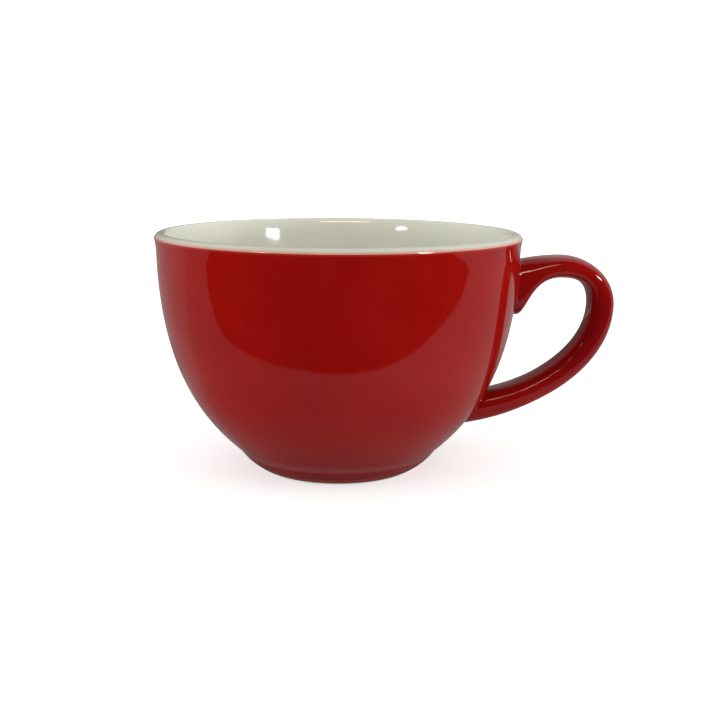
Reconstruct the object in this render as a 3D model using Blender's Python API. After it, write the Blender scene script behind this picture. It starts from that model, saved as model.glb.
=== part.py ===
"""A latte cup: a glazed ceramic bowl on a low foot ring, with a looped handle luted to its side.

Lengths are in metres and +Z is up. The sizes are those of the glazed surface that is seen and held.
The clay lies under that surface by one coat of glaze and one seat gap, so every coat, joint and
hole follows from the same outlines. An outline is a list of (x, height) points, with the bowl's
axis at x = 0.
"""

import math

import bmesh
import bpy
import numpy as np
from mathutils import Vector
from mathutils.geometry import interpolate_bezier

# Bowl: a wall that curves up from the foot to its shoulder and flares a little from there to the rim
RIM_DIAMETER = 0.1060
HEIGHT = 0.0695
FOOT_PULL = 0.01125
FOOT_SLOPE = math.radians(41.6)
SHOULDER_PULL = 0.03654
SHOULDER_LEAN = math.radians(1.1)
FLARE_HEIGHT = 0.0046
FLARE_REACH = 0.00056
RIM_LEAN = math.radians(12)

# Lip: a round slope that rises inwards from the rim's edge, and a tighter round over to the inside
LIP_RISE = 0.0014
LIP_WIDTH = 0.0022
LIP_ROUND = 0.0011

# Inside of the bowl: the wall leans in under the lip, thickens downwards and runs into a flat floor
FLOOR_HEIGHT = 0.0072
FLOOR_RADIUS = 0.010
INNER_LEAN = math.radians(20)
INNER_RIM_PULL = 0.012
FLOOR_PULL = 0.0351

# Foot ring with a round side, a recess under the floor and a bare edge below the glaze
FOOT_HEIGHT = 0.0061
FOOT_TOP_RADIUS = 0.0298
FOOT_SIDE_SLOPE = math.radians(56.6)
FOOT_BASE_RADIUS = 0.0228
FOOT_INNER_RADIUS = 0.0166
RECESS_RADIUS = 0.0157
RECESS_DEPTH = 0.0030
BARE_FOOT = 0.0008

# Coats, the slip that lutes the handle on, and the gap that keeps neighbours apart
GLAZE = 0.0004
SLIP = 0.0006
SEAT_GAP = 0.0003

# Handle, drawn by its outer edge and its thickness at four stations from the crown to the lower root
HANDLE_PROJECTION = 0.0278
HANDLE_WIDTH = 0.0128
HANDLE_SQUARENESS = 2.6
CROWN_OUT = 0.0120
CROWN_DROP = 0.0067
CROWN_THICKNESS = 0.0065
CROWN_FULLNESS = 1.27
BACK_DROP = 0.0212
BACK_THICKNESS = 0.0073
ARM_OUT = 0.0100
ARM_HEIGHT = 0.0218
ARM_FALL = math.radians(30.8)
ARM_THICKNESS = 0.00755
LOWER_ROOT_HEIGHT = 0.0124
LOWER_ROOT_FALL = math.radians(6.9)
LOWER_ROOT_THICKNESS = 0.0089

# Upper root, which flares down the wall to a round toe
ROOT_INSET = 0.0010
ROOT_TOP_DROP = 0.0081
ROOT_RISE = math.radians(12.5)
TOE_DROP = 0.0242
TOE_PULL = 0.0032
TOE_CROWN_PULL = 0.0096

# Fineness of the meshes
TURN_STEPS = 48
FOOT_POINTS = 5
WALL_POINTS = 11
FLARE_POINTS = 4
LIP_POINTS = 5
ROUND_POINTS = 4
SECTION_POINTS = 16
SPAN_POINTS = 8
MERGE_DISTANCE = 1e-6
SHARP_ANGLE = math.radians(35)

RIM_RADIUS = RIM_DIAMETER / 2
SKIN = GLAZE + SEAT_GAP
HANDLE_REACH = RIM_RADIUS + HANDLE_PROJECTION

# Finishes: linear colour and roughness
RED_GLAZE = ((0.27, 0.006, 0.004, 1.0), 0.08)
WHITE_GLAZE = ((0.57, 0.56, 0.47, 1.0), 0.10)
FIRED_CLAY = ((0.55, 0.50, 0.42, 1.0), 0.75)
FIRED_SLIP = ((0.47, 0.43, 0.37, 1.0), 0.85)


# Curves and outlines in general

def bezier(start, start_arm, end_arm, end, count):
    return [Vector(point) for point in interpolate_bezier(start, start_arm, end_arm, end, count)]


def heading(angle):
    return Vector((math.cos(angle), math.sin(angle)))


def span(a, angle_a, b, angle_b, pulls, count):
    """A curve between two points that has the given headings there."""
    return bezier(a, a + pulls[0] * heading(angle_a), b - pulls[1] * heading(angle_b), b, count)


def arc_pulls(a, angle_a, b, angle_b):
    """The arms with which a span bends like a round arc."""
    turn = abs(angle_b - angle_a)
    chord = (b - a).length
    pull = chord * 2 / 3 * math.tan(turn / 4) / math.sin(turn / 2) if turn else chord / 3
    return pull, pull


def left_normal(start, end):
    along = (end - start).normalized()
    return Vector((-along.y, along.x))


def offset(path, depth):
    """The path moved to its left by depth, with mitred corners, so that faces stay parallel."""
    sides = [left_normal(a, b) for a, b in zip(path, path[1:])]
    moved = []
    for point, before, after in zip(path, sides[:1] + sides, sides + sides[-1:]):
        moved.append(point + (before + after) * depth / (1 + before.dot(after)))
    return moved


def at_height(a, b, height):
    """The point at a height on the straight line through two points."""
    return a + (b - a) * (height - a.y) / (b.y - a.y)


# Outlines of the bowl, running round its clay with the clay on their left

def recess(base_height):
    """The underside, from the axis out to the foot's inner side and down to a height."""
    corner = Vector((RECESS_RADIUS, RECESS_DEPTH))
    base = Vector((FOOT_INNER_RADIUS, 0.0))
    return [Vector((0.0, RECESS_DEPTH)), corner, at_height(base, corner, base_height)]


def foot_side():
    """The foot's round side, from its base up to the wall."""
    base = Vector((FOOT_BASE_RADIUS, 0.0))
    top = Vector((FOOT_TOP_RADIUS, FOOT_HEIGHT))
    climb = math.atan2(FOOT_HEIGHT, FOOT_TOP_RADIUS - FOOT_BASE_RADIUS)
    leaving = 2 * climb - FOOT_SIDE_SLOPE
    pulls = arc_pulls(base, leaving, top, FOOT_SIDE_SLOPE)
    return span(base, leaving, top, FOOT_SIDE_SLOPE, pulls, FOOT_POINTS)


def rim_edge():
    return Vector((RIM_RADIUS, HEIGHT - LIP_RISE))


def outer_wall():
    """The wall, from the top of the foot up to its shoulder, and on over the flare to the rim's edge."""
    foot = Vector((FOOT_TOP_RADIUS, FOOT_HEIGHT))
    rim = rim_edge()
    shoulder = rim - Vector((FLARE_REACH, FLARE_HEIGHT))
    rising = math.pi / 2 - SHOULDER_LEAN
    flaring = math.pi / 2 - RIM_LEAN
    wall = span(foot, FOOT_SLOPE, shoulder, rising, (FOOT_PULL, SHOULDER_PULL), WALL_POINTS)
    pull = FLARE_HEIGHT / 3
    return wall + span(shoulder, rising, rim, flaring, (pull, pull), FLARE_POINTS)[1:]


def outside(base_height):
    """The outside, from a height on the foot's side up to the rim's edge."""
    side = foot_side()
    above = [point for point in side if point.y > base_height]
    start = at_height(side[-len(above) - 1], above[0], base_height)
    return [start] + above + outer_wall()[1:]


def inside():
    """The inside, from the rim's edge up the lip's slope, over its round and down to the floor's middle."""
    rim = rim_edge()
    top = Vector((RIM_RADIUS - LIP_WIDTH, HEIGHT))
    rising = math.pi - 2 * math.atan2(LIP_RISE, LIP_WIDTH)
    slope = span(rim, rising, top, math.pi, arc_pulls(rim, rising, top, math.pi), LIP_POINTS)
    round_centre = top - Vector((0.0, LIP_ROUND))
    turns = np.linspace(math.pi / 2, math.pi - INNER_LEAN, ROUND_POINTS)[1:]
    lip = slope + [round_centre + LIP_ROUND * heading(turn) for turn in turns]
    floor = Vector((FLOOR_RADIUS, FLOOR_HEIGHT))
    falling = -math.pi / 2 - INNER_LEAN
    wall = span(lip[-1], falling, floor, -math.pi, (INNER_RIM_PULL, FLOOR_PULL), WALL_POINTS)
    return lip + wall[1:] + [Vector((0.0, FLOOR_HEIGHT))]


def clay_outline():
    """The bowl's clay, from the axis under the floor, round the foot and the lip, to the axis inside."""
    under = offset(recess(0.0), SKIN)
    under[-1] = at_height(under[-2], under[-1], 0.0)
    over = offset(outside(0.0) + inside()[1:], SKIN)
    over[0] = at_height(over[0], over[1], 0.0)
    return under + over


def coat_outline(face):
    return face + offset(face, GLAZE)[::-1]


def rim_coat_outlines():
    """The outer coat and the liner, which part along the mitre under the rim's edge."""
    outer = outside(BARE_FOOT)
    face = outer + inside()[1:]
    bed = offset(face, GLAZE)
    rim = len(outer) - 1
    drop = SEAT_GAP * (face[rim - 1] - face[rim]).normalized()
    outer_coat = face[:rim] + [face[rim] + drop, bed[rim] + drop] + bed[:rim][::-1]
    return outer_coat, bed[rim:][::-1] + face[rim:]


def block_outline(depth):
    """A solid that fills the bowl out to a depth under its outside."""
    side = offset(outside(0.0), depth)
    return [Vector((0.0, side[0].y))] + side + [Vector((0.0, side[-1].y))]


def wall_radius(height):
    wall = outer_wall()
    return float(np.interp(height, [point.y for point in wall], [point.x for point in wall]))


# Outlines of the handle, running from its upper root round to its lower root

def handle_stations():
    """Points on the outer edge, each with its heading and the handle's thickness there."""
    crown = Vector((RIM_RADIUS + CROWN_OUT, HEIGHT - CROWN_DROP))
    back = Vector((HANDLE_REACH, HEIGHT - BACK_DROP))
    arm = Vector((RIM_RADIUS + ARM_OUT, ARM_HEIGHT))
    lower_root = Vector((wall_radius(LOWER_ROOT_HEIGHT), LOWER_ROOT_HEIGHT))
    return [
        (crown, 0.0, CROWN_THICKNESS),
        (back, -math.pi / 2, BACK_THICKNESS),
        (arm, ARM_FALL - math.pi, ARM_THICKNESS),
        (lower_root, LOWER_ROOT_FALL - math.pi, LOWER_ROOT_THICKNESS),
    ]


def knot_pulls(knots):
    return [arc_pulls(*a, *b) for a, b in zip(knots, knots[1:])]


def edge(knots, pulls):
    """An edge of the handle through its knots, run on into the wall by a third of its width at both ends."""
    first, first_angle = knots[0]
    last, last_angle = knots[-1]
    run = HANDLE_WIDTH / 3
    points = [first - run * heading(first_angle), first]
    for a, b, arms in zip(knots, knots[1:], pulls):
        points += span(*a, *b, arms, SPAN_POINTS)[1:]
    return points + [last + run * heading(last_angle)]


def outer_edge():
    root_top = Vector((RIM_RADIUS - ROOT_INSET, HEIGHT - ROOT_TOP_DROP))
    knots = [(root_top, ROOT_RISE)] + [(point, angle) for point, angle, _ in handle_stations()]
    return edge(knots, knot_pulls(knots))


def inner_edge():
    toe = Vector((RIM_RADIUS - ROOT_INSET, HEIGHT - TOE_DROP))
    knots = [(toe, 0.0)]
    for point, angle, thickness in handle_stations():
        knots.append((point + thickness * heading(angle - math.pi / 2), angle))
    pulls = knot_pulls(knots)
    pulls[0] = (TOE_PULL, TOE_CROWN_PULL)
    pulls[1] = tuple(CROWN_FULLNESS * pull for pull in pulls[1])
    return edge(knots, pulls)


def rounded(value):
    return math.copysign(abs(value) ** (2 / HANDLE_SQUARENESS), value)


def handle_rings(depth):
    """Rings round the handle at a depth under its glazed surface, from root to root."""
    half_width = HANDLE_WIDTH / 2 - depth
    turns = [2 * math.pi * number / SECTION_POINTS for number in range(SECTION_POINTS)]
    rings = []
    for outer, inner in zip(offset(outer_edge(), -depth), offset(inner_edge(), depth)):
        middle = (outer + inner) / 2
        half = (outer - inner) / 2
        ring = []
        for turn in turns:
            spot = middle + half * rounded(math.cos(turn))
            ring.append((spot.x, half_width * rounded(math.sin(turn)), spot.y))
        rings.append(ring)
    return rings


# Meshes

def finished_mesh(name, bm):
    bmesh.ops.recalc_face_normals(bm, faces=bm.faces)
    mesh = bpy.data.meshes.new(name)
    bm.to_mesh(mesh)
    bm.free()
    mesh.shade_smooth()
    mesh.set_sharp_from_angle(angle=SHARP_ANGLE)
    return mesh


def turned_mesh(name, outline):
    """The outline turned about the axis. It is closed by its last edge unless both ends are on the axis."""
    bm = bmesh.new()
    verts = [bm.verts.new((point.x, 0.0, point.y)) for point in outline]
    pairs = list(zip(verts, verts[1:]))
    if outline[0].x > MERGE_DISTANCE:
        pairs.append((verts[-1], verts[0]))
    edges = [bm.edges.new(pair) for pair in pairs]
    bmesh.ops.spin(
        bm,
        geom=verts + edges,
        cent=(0.0, 0.0, 0.0),
        axis=(0.0, 0.0, 1.0),
        angle=2 * math.pi,
        steps=TURN_STEPS,
        use_merge=True,
    )
    bmesh.ops.remove_doubles(bm, verts=bm.verts, dist=MERGE_DISTANCE)
    return finished_mesh(name, bm)


def swept_mesh(name, rings, is_sleeve=False):
    """Rings joined in turn: a bar with two ends, or a sleeve whose last ring meets its first."""
    bm = bmesh.new()
    loops = [[bm.verts.new(point) for point in ring] for ring in rings]
    if is_sleeve:
        loops.append(loops[0])
    else:
        bm.faces.new(loops[0])
        bm.faces.new(loops[-1])
    for loop, following in zip(loops, loops[1:]):
        for number in range(SECTION_POINTS):
            beside = (number + 1) % SECTION_POINTS
            bm.faces.new((loop[number], loop[beside], following[beside], following[number]))
    return finished_mesh(name, bm)


# Objects

def material(name, finish):
    colour, roughness = finish
    made = bpy.data.materials.new(name)
    made.use_nodes = True
    shader = made.node_tree.nodes["Principled BSDF"]
    shader.inputs["Base Color"].default_value = colour
    shader.inputs["Roughness"].default_value = roughness
    shader.inputs["Metallic"].default_value = 0.0
    made.diffuse_color = colour
    return made


def place(mesh, axis, finish=None):
    """An object on the bowl's axis: a piece with a finish, or without one a hidden cutter."""
    item = bpy.data.objects.new(mesh.name, mesh)
    item.parent = axis
    bpy.context.scene.collection.objects.link(item)
    if finish:
        mesh.materials.append(material(mesh.name, finish))
    else:
        item.hide_render = True
        item.display_type = "WIRE"
    return item


def combine(item, operation, tool):
    modifier = item.modifiers.new(tool.name, "BOOLEAN")
    modifier.operation = operation
    modifier.solver = "EXACT"
    modifier.object = tool


def wall_block(name, depth, axis):
    return place(turned_mesh(name, block_outline(depth)), axis)


def make_bowl(axis):
    outer_coat, liner = rim_coat_outlines()
    place(turned_mesh("bowl", clay_outline()), axis, FIRED_CLAY)
    place(turned_mesh("liner_glaze", liner), axis, WHITE_GLAZE)
    place(turned_mesh("base_glaze", coat_outline(recess(BARE_FOOT))), axis, RED_GLAZE)
    return place(turned_mesh("outer_glaze", outer_coat), axis, RED_GLAZE)


def make_handle(axis, outer_glaze):
    """The handle, its coat, the slip at its two roots, and the holes that these need in the red coat."""
    slip_bed = wall_block("slip_bed", GLAZE, axis)
    slip_face = wall_block("slip_face", GLAZE - SLIP, axis)
    handle_end = wall_block("handle_end", GLAZE - SLIP - SEAT_GAP, axis)
    coat_end = wall_block("coat_end", -SEAT_GAP, axis)

    clay_rings = handle_rings(SKIN)
    handle = place(swept_mesh("handle", clay_rings), axis, FIRED_CLAY)
    combine(handle, "DIFFERENCE", handle_end)

    hole_rings = handle_rings(GLAZE)
    sleeve_rings = handle_rings(0.0) + hole_rings[::-1]
    coat = place(swept_mesh("handle_glaze", sleeve_rings, is_sleeve=True), axis, RED_GLAZE)
    combine(coat, "DIFFERENCE", coat_end)

    for root, span in (("upper", slice(0, SPAN_POINTS)), ("lower", slice(-SPAN_POINTS, None))):
        slip = place(swept_mesh(f"{root}_slip_joint", clay_rings[span]), axis, FIRED_SLIP)
        combine(slip, "INTERSECT", slip_face)
        combine(slip, "DIFFERENCE", slip_bed)
        hole = place(swept_mesh(f"{root}_hole", hole_rings[span]), axis)
        combine(outer_glaze, "DIFFERENCE", hole)


def main():
    for item in list(bpy.data.objects):
        bpy.data.objects.remove(item, do_unlink=True)
    axis = bpy.data.objects.new("bowl_axis", None)
    axis.location.x = (RIM_RADIUS - HANDLE_REACH) / 2
    bpy.context.scene.collection.objects.link(axis)
    outer_glaze = make_bowl(axis)
    make_handle(axis, outer_glaze)


main()
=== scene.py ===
"""The looks of the latte cup: fine glazed surfaces over the cup's solids, in soft studio light.

Lengths are in metres and +Z is up. An outline is an array of points, each its distance from the
bowl's axis and its height, with the clay on its left. The pieces are made about that axis and
placed there. Colours are linear.
"""

import math

import bmesh
import bpy
import numpy as np
from mathutils import Matrix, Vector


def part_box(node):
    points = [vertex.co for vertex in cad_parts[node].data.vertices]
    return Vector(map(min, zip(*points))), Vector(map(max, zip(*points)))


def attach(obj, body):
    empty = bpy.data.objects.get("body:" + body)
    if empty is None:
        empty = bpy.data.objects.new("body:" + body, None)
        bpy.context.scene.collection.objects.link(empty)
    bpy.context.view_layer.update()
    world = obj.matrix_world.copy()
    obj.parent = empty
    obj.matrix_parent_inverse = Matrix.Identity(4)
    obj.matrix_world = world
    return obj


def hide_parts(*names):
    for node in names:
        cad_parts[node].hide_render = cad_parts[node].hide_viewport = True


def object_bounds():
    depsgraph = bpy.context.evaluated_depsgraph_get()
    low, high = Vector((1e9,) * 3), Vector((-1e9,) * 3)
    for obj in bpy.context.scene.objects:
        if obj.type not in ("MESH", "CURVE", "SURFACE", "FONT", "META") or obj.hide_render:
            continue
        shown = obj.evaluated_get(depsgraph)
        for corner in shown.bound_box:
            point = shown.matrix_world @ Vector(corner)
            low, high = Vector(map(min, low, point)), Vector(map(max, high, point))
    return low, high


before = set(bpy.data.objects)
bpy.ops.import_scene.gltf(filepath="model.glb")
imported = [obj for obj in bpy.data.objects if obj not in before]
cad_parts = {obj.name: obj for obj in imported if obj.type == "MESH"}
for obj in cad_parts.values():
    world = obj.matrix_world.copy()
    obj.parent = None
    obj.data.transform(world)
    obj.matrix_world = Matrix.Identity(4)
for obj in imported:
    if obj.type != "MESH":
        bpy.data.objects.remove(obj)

CAD_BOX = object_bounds()

# The bowl's place and main sizes, from the frame
LINER_LOW, LINER_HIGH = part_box("liner_glaze")
AXIS_X = (LINER_LOW.x + LINER_HIGH.x) / 2
RIM_RADIUS = (LINER_HIGH.x - LINER_LOW.x) / 2
HEIGHT = CAD_BOX[1].z
HANDLE_REACH = CAD_BOX[1].x - AXIS_X
HANDLE_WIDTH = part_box("handle_glaze")[1].y * 2

# Bowl
FOOT_PULL = 0.01125
FOOT_SLOPE = math.radians(41.6)
SHOULDER_PULL = 0.03654
SHOULDER_LEAN = math.radians(1.1)
FLARE_HEIGHT = 0.0046
FLARE_REACH = 0.00056
RIM_LEAN = math.radians(12)
LIP_RISE = 0.0014
LIP_WIDTH = 0.0022
LIP_ROUND = 0.0011
RIM_REACH = 0.0003
FLOOR_HEIGHT = 0.0072
FLOOR_RADIUS = 0.010
FLOOR_PULL = 0.0351
INNER_LEAN = math.radians(20)
INNER_RIM_PULL = 0.012

# Foot ring
FOOT_HEIGHT = 0.0061
FOOT_TOP_RADIUS = 0.0298
FOOT_SIDE_SLOPE = math.radians(56.6)
FOOT_BASE_RADIUS = 0.0228
FOOT_INNER_RADIUS = 0.0166
RECESS_RADIUS = 0.0157
RECESS_DEPTH = 0.0030
BARE_FOOT = 0.0006
CREASE_REACH = 0.0010
RECESS_REACH = 0.0008
FOOT_EDGE_REACH = 0.0004

# Glaze
GLAZE = 0.0004

# Handle: the outer edge's stations, and the thickness at each
HANDLE_SQUARENESS = 2.6
CROWN_OUT = 0.0120
CROWN_DROP = 0.0067
CROWN_THICKNESS = 0.0065
CROWN_FULLNESS = 1.27
BACK_DROP = 0.0212
BACK_THICKNESS = 0.0073
ARM_OUT = 0.0100
ARM_HEIGHT = 0.0218
ARM_FALL = math.radians(30.8)
ARM_THICKNESS = 0.00755
LOWER_ROOT_HEIGHT = 0.0124
LOWER_ROOT_FALL = math.radians(6.9)
LOWER_ROOT_THICKNESS = 0.0089
ROOT_INSET = 0.0010
ROOT_RUN = HANDLE_WIDTH / 3
ROOT_TOP_DROP = 0.0081
ROOT_RISE = math.radians(12.5)
TOE_DROP = 0.0242
TOE_PULL = 0.0032
TOE_CROWN_PULL = 0.0096
ROOT_FILLET = 0.0009
FILLET_SINK = 0.00003

# Fineness of the meshes
TURN_STEPS = 192
FOOT_POINTS = 24
WALL_POINTS = 72
FLARE_POINTS = 16
LIP_POINTS = 16
ROUND_POINTS = 12
CORNER_POINTS = 7
SECTION_POINTS = 56
SPAN_POINTS = 32
HANDLE_POINTS = 180
FILLET_POINTS = 8
PROBE_FINENESS = 16
MERGE_DISTANCE = 1e-7
SHARP_ANGLE = math.radians(40)

# All glazes. A noise is its scale and detail, and a span is where a change starts and is whole
GLAZE_IOR = 1.5
NOISE_RANGE = (0.3, 0.7)
GLOSS_NOISE = (140.0, 2.0)

# Red glaze. Its spans are heights, but for the one across the handle's sides
RED_CLOUDS = (55.0, 3.0)
RED_SHADES = ((0.240, 0.0032, 0.0024, 1.0), (0.265, 0.0042, 0.0030, 1.0))
RED_GLOSS = (0.045, 0.075)
# Crimson, painted darker as shade, on the sides of the handle's back between crown and arm
CRIMSON_SHADE_RED = (0.190, 0.0026, 0.0036, 1.0)
CRIMSON_SHADE_SIDE_SPAN = (0.0030, 0.0056)
CRIMSON_SHADE_TOP_SPAN = (0.059, 0.046)
CRIMSON_SHADE_BASE_SPAN = (0.020, 0.034)
THICK_CALM = 0.35
THIN_RED = (0.42, 0.045, 0.020, 1.0)
THIN_RED_SPAN = (HEIGHT - LIP_RISE - 0.0008, HEIGHT - LIP_RISE)
THIN_RED_SHARE = 0.6
FOOT_GRAIN = (2400.0, 2.0)
FOOT_SPAN = (FOOT_HEIGHT + 0.0012, FOOT_HEIGHT - 0.0002)
FOOT_ROUGHNESS = 0.16
MOTTLED_RED = (0.12, 0.004, 0.006, 1.0)
MOTTLE_RANGE = (0.45, 0.60)
MOTTLE_SHARE = 0.6
# A pale milky band over the foot's crease, a painted sheen broken by the grain
CREASE_SHEEN_RED = (0.28, 0.045, 0.050, 1.0)
CREASE_SHEEN_LOWER_SPAN = (FOOT_HEIGHT - 0.0017, FOOT_HEIGHT - 0.0007)
CREASE_SHEEN_UPPER_SPAN = (FOOT_HEIGHT + 0.0026, FOOT_HEIGHT - 0.0002)
CREASE_SHEEN_GRAIN = (0.35, 0.60, 0.50, 0.90)
# A bright red line along the coat's lower edge, which the glaze has, painted brighter still as
# light where the floor shades it
EDGE_LIT_RED = (0.45, 0.020, 0.014, 1.0)
EDGE_LIT_RED_SPAN = (BARE_FOOT + 0.0020, BARE_FOOT + 0.0004)
EDGE_LIT_RED_SHARE = 0.85
SWELL = (38.0, 0.0)
SWELL_DEPTH = 0.00030
RED_WAVES = (100.0, 1.0)
RED_WAVE_DEPTH = 0.00007
PEEL_DEPTH = 0.00009

# White glaze. The lip's span and the blush's are distances from the axis
WHITE_CLOUDS = (45.0, 3.0)
WHITE_SHADES = ((0.655, 0.655, 0.555, 1.0), (0.685, 0.680, 0.585, 1.0))
WHITE_GLOSS = (0.05, 0.085)
SPECK_COLOUR = (0.16, 0.12, 0.08, 1.0)
SPECK_SCALE = 95.0
SPECK_SPAN = (0.030, 0.018)
SPECK_RARITY = 0.86
SPECK_SHARE = 0.7
# The white is painted darker on the lip, as shade
LIP_SHADE_WHITE = (0.575, 0.56, 0.47, 1.0)
LIP_SHADE_SPAN = (RIM_RADIUS - 0.0024, RIM_RADIUS - 0.0014)
BLUSH = (0.50, 0.12, 0.09, 1.0)
BLUSH_SPAN = (RIM_RADIUS - 0.0006, RIM_RADIUS)
BLUSH_SHARE = 0.65
WHITE_WAVES = (110.0, 1.0)
WHITE_WAVE_DEPTH = 0.00006

# Clay and slip. The grain has a roughness too
CLAY_SHADES = ((0.46, 0.41, 0.36, 1.0), (0.56, 0.51, 0.45, 1.0))
SLIP_SHADES = ((0.40, 0.36, 0.31, 1.0), (0.48, 0.44, 0.38, 1.0))
CLAY_GRAIN = (1800.0, 4.0, 0.7)
CLAY_GRAIN_DEPTH = 0.00015
CLAY_ROUGHNESS = (0.72, 0.9)

# The sockets of a mix node that are for colours
MIX_SHARE, MIX_FIRST, MIX_SECOND, MIX_RESULT = 0, 6, 7, 2

# Camera
CAMERA_DISTANCE = 0.320
CAMERA_HEIGHT = 0.09647
CAMERA_PITCH = 0.2013
CAMERA_YAW = 0.0200
CAMERA_ROLL = 0.0075
CAMERA_LENS = 54.90
SENSOR_WIDTH = 36.0

# Studio. A shade has a span of distances from the axis, and what it is at both ends
WHITE = (1.0, 1.0, 1.0, 1.0)
BLACK = (0.0, 0.0, 0.0, 1.0)
FLOOR_SIZE = 8.0
FLOOR_DROP = 0.0002
FLOOR_COLOUR = (0.80, 0.80, 0.79, 1.0)
FLOOR_LIFT = 0.52
FLOOR_LIFT_SPAN = (0.2, 1.0)
WORLD_FILL = 0.70
ROOM_RADIUS = 1.1
ROOM_SEGMENTS = 64
ROOM_DROP = 0.0001
PAPER_EDGE = 0.090
PAPER_SOFTNESS = 0.003
LEFT_CUT = 0.038
LEFT_CUT_SPAN = (-0.02, -0.17)
RIGHT_CUT = 0.021
RIGHT_CUT_SPAN = (0.12, 0.30)
# The reflected paper is painted brighter past a slanted line on its left
STEP_SLANT = 0.23
STEP_SPAN = (-0.0193, -0.0073)
PAPER_BLEND = (-0.08, 0.08)
# Painted shadow on the reflected paper behind the cup
SHADOW_ASIDE = (0.13, 0.07)
SHADOW_DEPTH = (0.05, 0.10)
NEAR_SHADE = (0.018, 0.040, 0.25, 0.75)
FAR_SHADE = (0.060, 0.090, 0.0, 0.25)
PAPER_LEFT = (0.245, 0.245, 0.24, 1.0)
PAPER_PAST_STEP = (0.33, 0.33, 0.325, 1.0)
PAPER_RIGHT = (0.365, 0.365, 0.355, 1.0)
PAPER_SHADOW_BEHIND = (0.18, 0.18, 0.175, 1.0)
LEFT_RISE = (0.20, 0.90)
LEFT_WALL = ((0.13, 0.13, 0.13, 1.0), (0.43, 0.42, 0.42, 1.0))
RIGHT_RISE = (0.0, 0.75)
RIGHT_WALL = ((0.37, 0.37, 0.37, 1.0), (0.70, 0.69, 0.68, 1.0))
WALL_BLEND = (-0.12, 0.20)
DIM_ROOM = (0.005, 0.004, 0.003, 1.0)
SOFT_DISTANCE = 1.3
SPARKLE_DISTANCE = 0.9
WHITE_LIGHT = (1.0, 1.0, 1.0)
WARM_LIGHT = (1.0, 0.66, 0.47)

# Lamps: name, azimuth and elevation in degrees, size, power and, for a sparkle, colour
SOFT_LAMPS = (
    ("key", 0, 25, (1.2, 0.9), 1.8),
    ("left_fill", -74, 20, (0.9, 0.9), 3.5),
    ("right_fill", 72, 20, (0.9, 0.9), 4.0),
    ("left_low", -82, 4, (0.9, 0.15), 5.5),
    ("right_low", 82, 4, (0.9, 0.15), 7.5),
)
WHITE_COAT_SPARKLES = (
    ("left_window", -49, 24.4, (0.11, 0.032), 2.0, WHITE_LIGHT),
    ("left_lamp", -40, 11, (0.16, 0.060), 6.0, WHITE_LIGHT),
)
SPARKLES = (
    ("right_window", 52.5, 20.5, (0.14, 0.069), 3.0, WHITE_LIGHT),
    ("warm_strip", -5, 36.7, (0.50, 0.015), 1.2, WARM_LIGHT),
)


# Curves and outlines in general

def heading(angle):
    return np.array((math.cos(angle), math.sin(angle)))


def bezier(start, start_arm, end_arm, end, count):
    t = np.linspace(0.0, 1.0, count)[:, None]
    s = 1 - t
    return s**3 * start + 3 * s**2 * t * start_arm + 3 * s * t**2 * end_arm + t**3 * end


def span(a, angle_a, b, angle_b, pulls, count):
    """A curve between two points that has the given headings there."""
    return bezier(a, a + pulls[0] * heading(angle_a), b - pulls[1] * heading(angle_b), b, count)


def arc_pulls(a, angle_a, b, angle_b):
    """The arms with which a span bends like a round arc."""
    turn = abs(angle_b - angle_a)
    pull = np.linalg.norm(b - a) * 2 / 3 * math.tan(turn / 4) / math.sin(turn / 2)
    return pull, pull


def unit(vectors):
    return vectors / np.linalg.norm(vectors, axis=-1, keepdims=True)


def offset(path, depth):
    """The path moved to its left by depth, with mitred corners."""
    along = unit(np.diff(path, axis=0))
    sides = np.stack((-along[:, 1], along[:, 0]), axis=1)
    before = np.vstack((sides[:1], sides))
    after = np.vstack((sides, sides[-1:]))
    return path + (before + after) * depth / (1 + (before * after).sum(axis=1))[:, None]


def at_height(a, b, height):
    """The point at a height on the straight line through two points."""
    return a + (b - a) * (height - a[1]) / (b[1] - a[1])


def eased(before, corner, after, reach):
    """A round in place of the corner between two straight sides."""
    start = corner + unit(before - corner) * reach
    end = corner + unit(after - corner) * reach
    return bezier(start, (start + 2 * corner) / 3, (end + 2 * corner) / 3, end, CORNER_POINTS)


# Outlines of the bowl

def rim_edge():
    return np.array((RIM_RADIUS, HEIGHT - LIP_RISE))


def outer_wall(fineness=1):
    """The wall from the foot's top up to its shoulder, and over the flare to the rim's edge."""
    foot = np.array((FOOT_TOP_RADIUS, FOOT_HEIGHT))
    rim = rim_edge()
    shoulder = rim - np.array((FLARE_REACH, FLARE_HEIGHT))
    rising = math.pi / 2 - SHOULDER_LEAN
    flaring = math.pi / 2 - RIM_LEAN
    pulls = (FOOT_PULL, SHOULDER_PULL)
    wall = span(foot, FOOT_SLOPE, shoulder, rising, pulls, fineness * WALL_POINTS)
    pull = FLARE_HEIGHT / 3
    flare = span(shoulder, rising, rim, flaring, (pull, pull), fineness * FLARE_POINTS)
    return np.vstack((wall, flare[1:]))


def foot_side():
    """The foot's round side, from its base up to the wall."""
    base = np.array((FOOT_BASE_RADIUS, 0.0))
    top = np.array((FOOT_TOP_RADIUS, FOOT_HEIGHT))
    climb = math.atan2(FOOT_HEIGHT, FOOT_TOP_RADIUS - FOOT_BASE_RADIUS)
    leaving = 2 * climb - FOOT_SIDE_SLOPE
    pulls = arc_pulls(base, leaving, top, FOOT_SIDE_SLOPE)
    return span(base, leaving, top, FOOT_SIDE_SLOPE, pulls, FOOT_POINTS)


def outside(base_height):
    """The outside, from a height on the foot's side, over the eased crease, to the rim's edge."""
    side = foot_side()
    first = np.flatnonzero(side[:, 1] > base_height)[0]
    side = np.vstack((at_height(side[first - 1], side[first], base_height), side[first:]))
    wall = outer_wall()
    before = side[np.linalg.norm(side - wall[0], axis=1) > CREASE_REACH]
    after = wall[np.linalg.norm(wall - wall[0], axis=1) > CREASE_REACH]
    return np.vstack((before, eased(before[-1], wall[0], after[0], CREASE_REACH), after))


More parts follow.
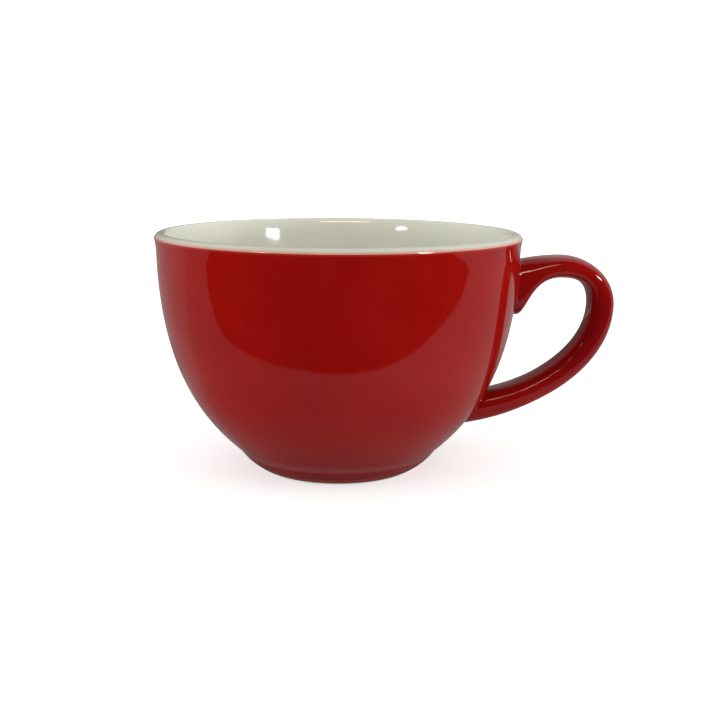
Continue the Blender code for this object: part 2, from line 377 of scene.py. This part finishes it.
def inside():
    """The inside, from the rim's edge over the lip's slope and round to the floor's middle."""
    rim = rim_edge()
    top = np.array((RIM_RADIUS - LIP_WIDTH, HEIGHT))
    rising = math.pi - 2 * math.atan2(LIP_RISE, LIP_WIDTH)
    slope = span(rim, rising, top, math.pi, arc_pulls(rim, rising, top, math.pi), LIP_POINTS)
    round_centre = top - np.array((0.0, LIP_ROUND))
    turns = np.linspace(math.pi / 2, math.pi - INNER_LEAN, ROUND_POINTS)[1:]
    lip = np.vstack((slope, [round_centre + LIP_ROUND * heading(turn) for turn in turns]))
    floor = np.array((FLOOR_RADIUS, FLOOR_HEIGHT))
    falling = -math.pi / 2 - INNER_LEAN
    wall = span(lip[-1], falling, floor, -math.pi, (INNER_RIM_PULL, FLOOR_PULL), WALL_POINTS)
    return np.vstack((lip, wall[1:], (0.0, FLOOR_HEIGHT)))


def glazed_face():
    """The outside and inside in one, its rim eased, and the number of the rim's middle point."""
    outer = outside(BARE_FOOT)
    inner = inside()
    rim = outer[-1]
    outer = outer[np.linalg.norm(outer - rim, axis=1) > RIM_REACH]
    inner = inner[np.linalg.norm(inner - rim, axis=1) > RIM_REACH]
    edge_round = eased(outer[-1], rim, inner[0], RIM_REACH)
    return np.vstack((outer, edge_round, inner)), len(outer) + CORNER_POINTS // 2


def recess(base_height):
    """The underside, from the axis out to the foot's inner side and down to a height."""
    middle = np.array((0.0, RECESS_DEPTH))
    corner = np.array((RECESS_RADIUS, RECESS_DEPTH))
    base = np.array((FOOT_INNER_RADIUS, 0.0))
    corner_round = eased(middle, corner, base, RECESS_REACH)
    return np.vstack((middle, corner_round, at_height(base, corner, base_height)))


def foot_edge(base_height):
    """The clay's bare edge, from the recess over the flat contact ring to the foot's outside."""
    inner_top = recess(base_height)[-1]
    outer_top = outside(base_height)[0]
    inner = np.array((FOOT_INNER_RADIUS, 0.0))
    outer = np.array((FOOT_BASE_RADIUS, 0.0))
    return np.vstack((
        eased(inner_top, inner, outer, FOOT_EDGE_REACH),
        eased(inner, outer, outer_top, FOOT_EDGE_REACH),
    ))


def clay_outline():
    """The clay: bare at the foot's edge, and elsewhere a coat's depth under the finished face."""
    under = offset(recess(BARE_FOOT), GLAZE)
    over = offset(glazed_face()[0], GLAZE)
    bare = np.vstack((recess(BARE_FOOT)[-1], foot_edge(BARE_FOOT), outside(BARE_FOOT)[0]))
    return np.vstack((under, bare, over))


def rim_coat_outlines():
    """The red coat and the white coat, which meet along the rim's edge."""
    face, rim = glazed_face()
    bed = offset(face, GLAZE)
    red = np.vstack((face[:rim + 1], bed[:rim + 1][::-1]))
    white = np.vstack((bed[rim:][::-1], face[rim:]))
    return red, white


def base_coat_outline():
    face = recess(BARE_FOOT)
    return np.vstack((face, offset(face, GLAZE)[::-1]))


# Outlines and rails of the handle

def handle_stations():
    """Points on the outer edge, each with its heading and the handle's thickness there."""
    wall = outer_wall()
    root_radius = np.interp(LOWER_ROOT_HEIGHT, wall[:, 1], wall[:, 0])
    crown = np.array((RIM_RADIUS + CROWN_OUT, HEIGHT - CROWN_DROP))
    back = np.array((HANDLE_REACH, HEIGHT - BACK_DROP))
    arm = np.array((RIM_RADIUS + ARM_OUT, ARM_HEIGHT))
    lower_root = np.array((root_radius, LOWER_ROOT_HEIGHT))
    return [
        (crown, 0.0, CROWN_THICKNESS),
        (back, -math.pi / 2, BACK_THICKNESS),
        (arm, ARM_FALL - math.pi, ARM_THICKNESS),
        (lower_root, LOWER_ROOT_FALL - math.pi, LOWER_ROOT_THICKNESS),
    ]


def knot_pulls(knots):
    return [arc_pulls(*a, *b) for a, b in zip(knots, knots[1:])]


def edge(knots, pulls):
    """An edge of the handle through its knots, run on straight into the wall at both ends."""
    first, first_angle = knots[0]
    last, last_angle = knots[-1]
    points = [first - ROOT_RUN * heading(first_angle), first]
    for a, b, arms in zip(knots, knots[1:], pulls):
        points.extend(span(*a, *b, arms, SPAN_POINTS)[1:])
    return np.array(points + [last + ROOT_RUN * heading(last_angle)])


def outer_edge():
    root_top = np.array((RIM_RADIUS - ROOT_INSET, HEIGHT - ROOT_TOP_DROP))
    knots = [(root_top, ROOT_RISE)] + [(point, angle) for point, angle, _ in handle_stations()]
    return edge(knots, knot_pulls(knots))


def inner_edge():
    toe = np.array((RIM_RADIUS - ROOT_INSET, HEIGHT - TOE_DROP))
    inner_knots = [(p + thick * heading(a - math.pi / 2), a) for p, a, thick in handle_stations()]
    knots = [(toe, 0.0)] + inner_knots
    pulls = [(TOE_PULL, TOE_CROWN_PULL)] + knot_pulls(inner_knots)
    pulls[1] = tuple(CROWN_FULLNESS * pull for pull in pulls[1])
    return edge(knots, pulls)


def rounded(values):
    return np.copysign(np.abs(values) ** (2 / HANDLE_SQUARENESS), values)


def handle_rails(depth):
    """Lines along the handle at a depth under its finished surface, from root to root."""
    outer = offset(outer_edge(), -depth)
    inner = offset(inner_edge(), depth)
    turns = 2 * math.pi * np.arange(SECTION_POINTS) / SECTION_POINTS
    across = (HANDLE_WIDTH / 2 - depth) * rounded(np.sin(turns))
    rails = []
    for rise, y in zip(rounded(np.cos(turns)), across):
        line = (outer + inner) / 2 + (outer - inner) / 2 * rise
        rails.append(np.stack((line[:, 0], np.full(len(line), y), line[:, 1]), axis=1))
    return rails


def on_wall(points):
    """The outer wall's points nearest to the given ones, its normals, and the distances out."""
    wall = outer_wall(PROBE_FINENESS)
    along = unit(np.gradient(wall, axis=0))
    radii = np.hypot(points[:, 0], points[:, 1])
    flat = np.stack((radii, points[:, 2]), axis=1)
    nearest = np.argmin(((flat[:, None] - wall[None]) ** 2).sum(axis=2), axis=1)
    spots = wall[nearest]
    out = np.stack((along[nearest, 1], -along[nearest, 0]), axis=1)
    around = points[:, :2] / radii[:, None]
    foot = np.column_stack((around * spots[:, :1], spots[:, 1]))
    normal = np.column_stack((around * out[:, :1], out[:, 1]))
    return foot, normal, ((flat - spots) * out).sum(axis=1)


def trimmed(rail, level):
    """The part of a rail that lies more than a level outside the wall, cut exactly at both ends."""
    beyond = on_wall(rail)[2] - level
    out = np.flatnonzero(beyond > 0)
    first, last = out[0], out[-1]
    ends = []
    for a, b in ((first - 1, first), (last, last + 1)):
        share = beyond[a] / (beyond[a] - beyond[b])
        ends.append(rail[a] + share * (rail[b] - rail[a]))
    return np.vstack((ends[0], rail[first:last + 1], ends[1]))


def resampled(path, inset):
    """Evenly spread points along a path, which keep an inset away from both its ends."""
    lengths = np.concatenate(((0.0,), np.cumsum(np.linalg.norm(np.diff(path, axis=0), axis=1))))
    spots = np.linspace(inset, lengths[-1] - inset, HANDLE_POINTS)
    return np.stack([np.interp(spots, lengths, path[:, k]) for k in range(3)], axis=1)


def root_fillet(starts, feet):
    """Rings that sweep from the handle's surface onto the wall, where glaze fills the crease."""
    foot, normal, _ = on_wall(feet)
    round_way = np.roll(feet, -1, axis=0) - np.roll(feet, 1, axis=0)
    outward = unit(np.cross(round_way, normal))
    outward *= np.sign((outward * (feet - feet.mean(axis=0))).sum(axis=1))[:, None]
    landing, landing_normal, _ = on_wall(foot + ROOT_FILLET * outward)
    landing = landing - FILLET_SINK * landing_normal
    t = np.linspace(0.0, 1.0, FILLET_POINTS)[1:]
    return [(1 - s) ** 2 * starts + 2 * s * (1 - s) * feet + s**2 * landing for s in t]


# Meshes and objects

def finished(name, bm, finish, slot, *nodes):
    """A piece on the bowl's axis that rides on the cup and stands for solids of the frame."""
    bmesh.ops.recalc_face_normals(bm, faces=bm.faces)
    mesh = bpy.data.meshes.new(name)
    bm.to_mesh(mesh)
    bm.free()
    mesh.shade_smooth()
    mesh.set_sharp_from_angle(angle=SHARP_ANGLE)
    mesh.materials.append(finish)
    piece = bpy.data.objects.new(name, mesh)
    piece.location.x = AXIS_X
    bpy.context.scene.collection.objects.link(piece)
    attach(piece, "root")
    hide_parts(*nodes)
    return piece


def turned(outline):
    """The outline turned about the axis. A last edge closes it if its ends are off the axis."""
    bm = bmesh.new()
    verts = [bm.verts.new((x, 0.0, z)) for x, z in outline]
    pairs = list(zip(verts, verts[1:]))
    if outline[0][0] > MERGE_DISTANCE:
        pairs.append((verts[-1], verts[0]))
    edges = [bm.edges.new(pair) for pair in pairs]
    bmesh.ops.spin(
        bm,
        geom=verts + edges,
        cent=(0.0, 0.0, 0.0),
        axis=(0.0, 0.0, 1.0),
        angle=2 * math.pi,
        steps=TURN_STEPS,
        use_merge=True,
    )
    bmesh.ops.remove_doubles(bm, verts=bm.verts, dist=MERGE_DISTANCE)
    return bm


def sleeve(rings):
    """Rings joined in turn, the last to the first."""
    bm = bmesh.new()
    loops = [[bm.verts.new(point) for point in ring] for ring in rings]
    for loop, following in zip(loops, loops[1:] + loops[:1]):
        for number in range(len(loop)):
            beside = (number + 1) % len(loop)
            bm.faces.new((loop[number], loop[beside], following[beside], following[number]))
    return bm


def handle_coat():
    """The handle's coat: its outer face with a fillet at each root, and its bed on the clay."""
    outer = [trimmed(rail, 0.0) for rail in handle_rails(0.0)]
    face = np.stack([resampled(rail, ROOT_FILLET) for rail in outer], axis=1)
    upper = root_fillet(face[0], np.array([rail[0] for rail in outer]))
    lower = root_fillet(face[-1], np.array([rail[-1] for rail in outer]))
    inner = [trimmed(rail, -FILLET_SINK) for rail in handle_rails(GLAZE)]
    bed = np.stack([resampled(rail, 0.0) for rail in inner], axis=1)
    return sleeve(upper[::-1] + list(face) + lower + list(bed[::-1]))


# Materials

def add(tree, kind, inputs, **settings):
    """A node with its settings, and its inputs set to values or joined to sockets."""
    made = tree.nodes.new(kind)
    for name, value in settings.items():
        setattr(made, name, value)
    for name, value in inputs.items():
        if isinstance(value, bpy.types.NodeSocket):
            tree.links.new(value, made.inputs[name])
        else:
            made.inputs[name].default_value = value
    return made


def new_material(name):
    """A material with its tree, its Principled shader and the place on its object."""
    made = bpy.data.materials.new(name)
    made.use_nodes = True
    tree = made.node_tree
    place = add(tree, "ShaderNodeTexCoord", {}).outputs["Object"]
    return made, tree, tree.nodes["Principled BSDF"], place


def noise(tree, place, scale, detail, roughness=0.5):
    inputs = {"Vector": place, "Scale": scale, "Detail": detail, "Roughness": roughness}
    return add(tree, "ShaderNodeTexNoise", inputs).outputs["Fac"]


def remapped(tree, value, low, high, to_low=0.0, to_high=1.0):
    """A value from a range spread smoothly over another one."""
    inputs = {
        "Value": value,
        "From Min": low,
        "From Max": high,
        "To Min": to_low,
        "To Max": to_high,
    }
    made = add(tree, "ShaderNodeMapRange", inputs, interpolation_type="SMOOTHSTEP")
    return made.outputs["Result"]


def math_of(tree, operation, a, b):
    return add(tree, "ShaderNodeMath", {0: a, 1: b}, operation=operation).outputs["Value"]


def product(tree, first, *others):
    result = first
    for factor in others:
        result = math_of(tree, "MULTIPLY", result, factor)
    return result


def size_of(tree, value):
    return math_of(tree, "ABSOLUTE", value, 0.0)


def mixed(tree, share, first, second):
    inputs = {MIX_SHARE: share, MIX_FIRST: first, MIX_SECOND: second}
    return add(tree, "ShaderNodeMix", inputs, data_type="RGBA").outputs[MIX_RESULT]


def tinted(tree, body, where, strength, colour):
    """A colour with another one laid over it, at a strength, where there is a mask."""
    return mixed(tree, product(tree, where, strength), body, colour)


def bumped(tree, height, distance, normal=None):
    inputs = {"Height": height, "Distance": distance}
    if normal:
        inputs["Normal"] = normal
    return add(tree, "ShaderNodeBump", inputs).outputs["Normal"]


def split(tree, vector):
    return add(tree, "ShaderNodeSeparateXYZ", {"Vector": vector}).outputs


def radius_of(tree, place):
    """The distance from the object's upright axis."""
    flat = add(tree, "ShaderNodeVectorMath", {0: place, 1: (1.0, 1.0, 0.0)}, operation="MULTIPLY")
    length = add(tree, "ShaderNodeVectorMath", {0: flat.outputs["Vector"]}, operation="LENGTH")
    return length.outputs["Value"]


def join(tree, shader, **sockets):
    """Joins sockets to the shader's inputs, whose names have a space for each underscore."""
    for name, socket in sockets.items():
        tree.links.new(socket, shader.inputs[name.replace("_", " ")])


def red_glaze(name, thick=False):
    """Deep red, clouded, thinner and warmer at the lip, mottled and less glossy round the foot.

    A thick coat is calmer, and on its sides at the handle's back, between crown and arm, it is more
    crimson and painted darker as shade.
    """
    made, tree, shader, place = new_material(name)
    shader.inputs["IOR"].default_value = GLAZE_IOR
    spot = split(tree, place)
    height = spot["Z"]
    clouds = remapped(tree, noise(tree, place, *RED_CLOUDS), *NOISE_RANGE)
    body = mixed(tree, clouds, *RED_SHADES)
    if thick:
        # Painted shade: darker crimson on the handle's sides between crown and arm
        on_side = remapped(tree, size_of(tree, spot["Y"]), *CRIMSON_SHADE_SIDE_SPAN)
        under_crown = remapped(tree, height, *CRIMSON_SHADE_TOP_SPAN)
        over_arm = remapped(tree, height, *CRIMSON_SHADE_BASE_SPAN)
        body = mixed(tree, product(tree, on_side, under_crown, over_arm), body, CRIMSON_SHADE_RED)
    at_lip = remapped(tree, height, *THIN_RED_SPAN)
    body = tinted(tree, body, at_lip, THIN_RED_SHARE, THIN_RED)
    grain = noise(tree, place, *FOOT_GRAIN)
    foot = remapped(tree, height, *FOOT_SPAN)
    mottle = product(tree, foot, remapped(tree, grain, *MOTTLE_RANGE))
    body = tinted(tree, body, mottle, MOTTLE_SHARE, MOTTLED_RED)
    # Painted sheen: a pale milky band over the foot's crease
    above = remapped(tree, height, *CREASE_SHEEN_LOWER_SPAN)
    below = remapped(tree, height, *CREASE_SHEEN_UPPER_SPAN)
    crease_sheen = product(tree, above, below, below, remapped(tree, grain, *CREASE_SHEEN_GRAIN))
    body = mixed(tree, crease_sheen, body, CREASE_SHEEN_RED)
    # The glaze's bright lower edge, painted brighter still as light against the floor's shade
    at_lit_edge = remapped(tree, height, *EDGE_LIT_RED_SPAN)
    body = tinted(tree, body, at_lit_edge, EDGE_LIT_RED_SHARE, EDGE_LIT_RED)
    gloss = remapped(tree, noise(tree, place, *GLOSS_NOISE), *NOISE_RANGE, *RED_GLOSS)
    gloss = math_of(tree, "ADD", gloss, product(tree, foot, FOOT_ROUGHNESS))
    calm = THICK_CALM if thick else 1.0
    swell = bumped(tree, noise(tree, place, *SWELL), SWELL_DEPTH * calm)
    waves = bumped(tree, noise(tree, place, *RED_WAVES), RED_WAVE_DEPTH * calm, swell)
    peel = bumped(tree, product(tree, foot, grain), PEEL_DEPTH, waves)
    join(tree, shader, Base_Color=body, Roughness=gloss, Normal=peel)
    return made


def white_glaze():
    """Off-white with a green-grey cast and dark specks, painted darker on the lip as shade, a blush
    by the red.
    """
    made, tree, shader, place = new_material("white_glaze")
    shader.inputs["IOR"].default_value = GLAZE_IOR
    clouds = remapped(tree, noise(tree, place, *WHITE_CLOUDS), *NOISE_RANGE)
    body = mixed(tree, clouds, *WHITE_SHADES)
    cells = add(tree, "ShaderNodeTexVoronoi", {"Vector": place, "Scale": SPECK_SCALE}).outputs
    in_middle = remapped(tree, cells["Distance"], *SPECK_SPAN)
    chosen = math_of(tree, "GREATER_THAN", split(tree, cells["Color"])["X"], SPECK_RARITY)
    body = tinted(tree, body, product(tree, in_middle, chosen), SPECK_SHARE, SPECK_COLOUR)
    radius = radius_of(tree, place)
    # Painted shade on the lip
    body = mixed(tree, remapped(tree, radius, *LIP_SHADE_SPAN), body, LIP_SHADE_WHITE)
    body = tinted(tree, body, remapped(tree, radius, *BLUSH_SPAN), BLUSH_SHARE, BLUSH)
    gloss = remapped(tree, noise(tree, place, *GLOSS_NOISE), *NOISE_RANGE, *WHITE_GLOSS)
    waves = bumped(tree, noise(tree, place, *WHITE_WAVES), WHITE_WAVE_DEPTH)
    join(tree, shader, Base_Color=body, Roughness=gloss, Normal=waves)
    return made


def fired_clay(name, dark, pale):
    """Matt clay with a sandy grain."""
    made, tree, shader, place = new_material(name)
    grain = noise(tree, place, *CLAY_GRAIN)
    body = mixed(tree, remapped(tree, grain, *NOISE_RANGE), dark, pale)
    rough = remapped(tree, grain, *NOISE_RANGE, *CLAY_ROUGHNESS)
    bumps = bumped(tree, grain, CLAY_GRAIN_DEPTH)
    join(tree, shader, Base_Color=body, Roughness=rough, Normal=bumps)
    return made


# Stage

def seen(tree):
    """1 for the rays that show the background: straight, reflected and through glass."""
    path = add(tree, "ShaderNodeLightPath", {}).outputs
    reflected = math_of(tree, "MAXIMUM", path["Is Glossy Ray"], path["Is Transmission Ray"])
    return math_of(tree, "MAXIMUM", path["Is Camera Ray"], reflected)


def make_world():
    """A white surround, which lights the cup at less than the strength that it shows."""
    world = bpy.data.worlds.new("studio")
    world.use_nodes = True
    tree = world.node_tree
    strength = remapped(tree, seen(tree), 0.0, 1.0, WORLD_FILL, 1.0)
    tree.links.new(strength, tree.nodes["Background"].inputs["Strength"])
    tree.nodes["Background"].inputs["Color"].default_value = WHITE
    bpy.context.scene.world = world


def stage_object(name, bm, finish):
    mesh = bpy.data.meshes.new(name)
    bm.to_mesh(mesh)
    bm.free()
    mesh.materials.append(finish)
    item = bpy.data.objects.new(name, mesh)
    item.location.x = AXIS_X
    bpy.context.scene.collection.objects.link(item)
    return item


def make_floor():
    """A pale floor, lifted to white away from the cup."""
    made, tree, shader, place = new_material("pale_floor")
    shader.inputs["Base Color"].default_value = FLOOR_COLOUR
    shader.inputs["Roughness"].default_value = 1.0
    shader.inputs["Specular IOR Level"].default_value = 0.0
    shader.inputs["Emission Color"].default_value = WHITE
    lift = remapped(tree, radius_of(tree, place), *FLOOR_LIFT_SPAN, FLOOR_LIFT, 1.0)
    tree.links.new(product(tree, seen(tree), lift), shader.inputs["Emission Strength"])
    bm = bmesh.new()
    bmesh.ops.create_grid(bm, x_segments=1, y_segments=1, size=FLOOR_SIZE / 2)
    stage_object("floor", bm, made).location.z = -FLOOR_DROP


def paper_colour(tree, spot, radius):
    """The paper that the cup stands on, painted brighter past a slanted line on its left, with
    painted shadow behind and under the cup.
    """
    slanted = math_of(tree, "ADD", spot["Y"], product(tree, spot["X"], STEP_SLANT))
    # Painted light: brighter past a slanted line on the left
    paper = mixed(tree, remapped(tree, slanted, *STEP_SPAN), PAPER_LEFT, PAPER_PAST_STEP)
    paper = mixed(tree, remapped(tree, spot["X"], *PAPER_BLEND), paper, PAPER_RIGHT)
    # Painted shadow behind the cup
    central = remapped(tree, size_of(tree, spot["X"]), *SHADOW_ASIDE)
    behind = product(tree, central, remapped(tree, spot["Y"], *SHADOW_DEPTH))
    paper = mixed(tree, behind, paper, PAPER_SHADOW_BEHIND)
    near = remapped(tree, radius, *NEAR_SHADE)
    shade = math_of(tree, "ADD", near, remapped(tree, radius, *FAR_SHADE))
    shaded = add(tree, "ShaderNodeVectorMath", {0: paper, 1: shade}, operation="MULTIPLY")
    return shaded.outputs["Vector"]


def wall_colour(tree, spot):
    """The walls, whose painted light gets brighter as they rise."""
    left = mixed(tree, remapped(tree, spot["Z"], *LEFT_RISE), *LEFT_WALL)
    right = mixed(tree, remapped(tree, spot["Z"], *RIGHT_RISE), *RIGHT_WALL)
    return mixed(tree, remapped(tree, spot["X"], *WALL_BLEND), left, right)


def past_paper_edge(tree, spot):
    """1 behind the paper's front edge, which is cut back on the left and the right, else 0."""
    left_cut = remapped(tree, spot["X"], *LEFT_CUT_SPAN, 0.0, LEFT_CUT)
    right_cut = remapped(tree, spot["X"], *RIGHT_CUT_SPAN, 0.0, RIGHT_CUT)
    reach = math_of(tree, "SUBTRACT", PAPER_EDGE, math_of(tree, "ADD", left_cut, right_cut))
    past = math_of(tree, "ADD", spot["Y"], reach)
    return remapped(tree, past, -PAPER_SOFTNESS, PAPER_SOFTNESS)


def half_ball():
    """The upper half of a ball, closed by a flat base."""
    bm = bmesh.new()
    bmesh.ops.create_uvsphere(
        bm,
        u_segments=ROOM_SEGMENTS,
        v_segments=ROOM_SEGMENTS // 2,
        radius=ROOM_RADIUS,
    )
    cut = bmesh.ops.bisect_plane(
        bm,
        geom=bm.verts[:] + bm.edges[:] + bm.faces[:],
        plane_co=(0.0, 0.0, 0.0),
        plane_no=(0.0, 0.0, -1.0),
        clear_outer=True,
    )
    rim = [item for item in cut["geom_cut"] if isinstance(item, bmesh.types.BMEdge)]
    bmesh.ops.contextual_create(bm, geom=rim)
    return bm


def make_room():
    """The room that the glaze reflects, which glows as painted light: pale paper and walls, and dim
    in front of the paper.
    """
    made, tree, shader, place = new_material("room")
    shader.inputs["Base Color"].default_value = BLACK
    shader.inputs["Specular IOR Level"].default_value = 0.0
    shader.inputs["Emission Strength"].default_value = 1.0
    spot = split(tree, place)
    paper = paper_colour(tree, spot, radius_of(tree, place))
    on_wall_side = math_of(tree, "GREATER_THAN", spot["Z"], ROOM_DROP)
    pale = mixed(tree, on_wall_side, paper, wall_colour(tree, spot))
    colour = mixed(tree, past_paper_edge(tree, spot), DIM_ROOM, pale)
    join(tree, shader, Emission_Color=colour)
    room = stage_object("room", half_ball(), made)
    room.location.z = -ROOM_DROP
    room.visible_camera = False
    room.visible_diffuse = False
    room.visible_transmission = False
    room.visible_shadow = False


# Lamps and camera

def add_lamp(name, azimuth, elevation, distance, size, power, colour):
    """An area lamp that faces the cup. Azimuth 0 is the camera's side, and positive its right."""
    lamp = bpy.data.lights.new(name, "AREA")
    lamp.shape = "RECTANGLE"
    lamp.size, lamp.size_y = size
    lamp.energy = power
    lamp.color = colour
    item = bpy.data.objects.new(name, lamp)
    middle = Matrix.Translation((AXIS_X, 0.0, HEIGHT / 2))
    swing = Matrix.Rotation(math.radians(azimuth), 4, "Z")
    tilt = Matrix.Rotation(math.radians(90 - elevation), 4, "X")
    item.matrix_world = middle @ (swing @ tilt) @ Matrix.Translation((0.0, 0.0, distance))
    item.visible_camera = False
    bpy.context.scene.collection.objects.link(item)
    return item


def add_soft_lamp(name, azimuth, elevation, size, power):
    """A broad lamp that lights the cup and leaves no highlight."""
    lamp = add_lamp(name, azimuth, elevation, SOFT_DISTANCE, size, power, WHITE_LIGHT)
    lamp.visible_glossy = False


def add_sparkle(name, azimuth, elevation, size, power, colour, target=None):
    """A small lamp that only shows as a highlight, and on the target alone if there is one."""
    lamp = add_lamp(name, azimuth, elevation, SPARKLE_DISTANCE, size, power, colour)
    lamp.visible_diffuse = False
    if target:
        receivers = bpy.data.collections.new(name)
        receivers.objects.link(target)
        lamp.light_linking.receiver_collection = receivers


def make_camera():
    """A camera in front of the bowl, which looks down and a little to the right."""
    data = bpy.data.cameras.new("camera")
    data.sensor_width = SENSOR_WIDTH
    data.lens = CAMERA_LENS
    camera = bpy.data.objects.new("camera", data)
    place = Matrix.Translation((AXIS_X, -CAMERA_DISTANCE, CAMERA_HEIGHT))
    swing = Matrix.Rotation(-CAMERA_YAW, 4, "Z")
    tilt = Matrix.Rotation(math.pi / 2 - CAMERA_PITCH, 4, "X")
    camera.matrix_world = place @ (swing @ tilt) @ Matrix.Rotation(CAMERA_ROLL, 4, "Z")
    bpy.context.scene.collection.objects.link(camera)
    bpy.context.scene.camera = camera


def make_studio(white_coat):
    """The stage, the lamps and the camera. Some lamps light the white coat alone."""
    bpy.context.scene.view_settings.view_transform = "Standard"
    make_world()
    make_floor()
    make_room()
    for lamp in SOFT_LAMPS:
        add_soft_lamp(*lamp)
    for lamp in WHITE_COAT_SPARKLES:
        add_sparkle(*lamp, target=white_coat)
    for lamp in SPARKLES:
        add_sparkle(*lamp)
    make_camera()


# The cup

def make_cup():
    """The clay and its coats, and finer looks for the solids that stay. Returns the white coat."""
    red = red_glaze("red_glaze")
    calm_shaded_red = red_glaze("calm_shaded_red_glaze", thick=True)
    white = white_glaze()
    clay = fired_clay("fired_clay", *CLAY_SHADES)
    slip = fired_clay("fired_slip", *SLIP_SHADES)
    finished("clay_bowl", turned(clay_outline()), clay, "clay", "bowl")
    red_outline, white_outline = rim_coat_outlines()
    finished("red_coat", turned(red_outline), red, "red_glaze", "outer_glaze")
    white_coat = finished("white_coat", turned(white_outline), white, "white_glaze", "liner_glaze")
    finished("base_coat", turned(base_coat_outline()), red, "red_glaze", "base_glaze")
    finished("handle_coat", handle_coat(), calm_shaded_red, "red_glaze", "handle_glaze")
    for name, finish in (("handle", clay), ("upper_slip_joint", slip), ("lower_slip_joint", slip)):
        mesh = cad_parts[name].data
        mesh.materials.clear()
        mesh.materials.append(finish)
    return white_coat


make_studio(make_cup())
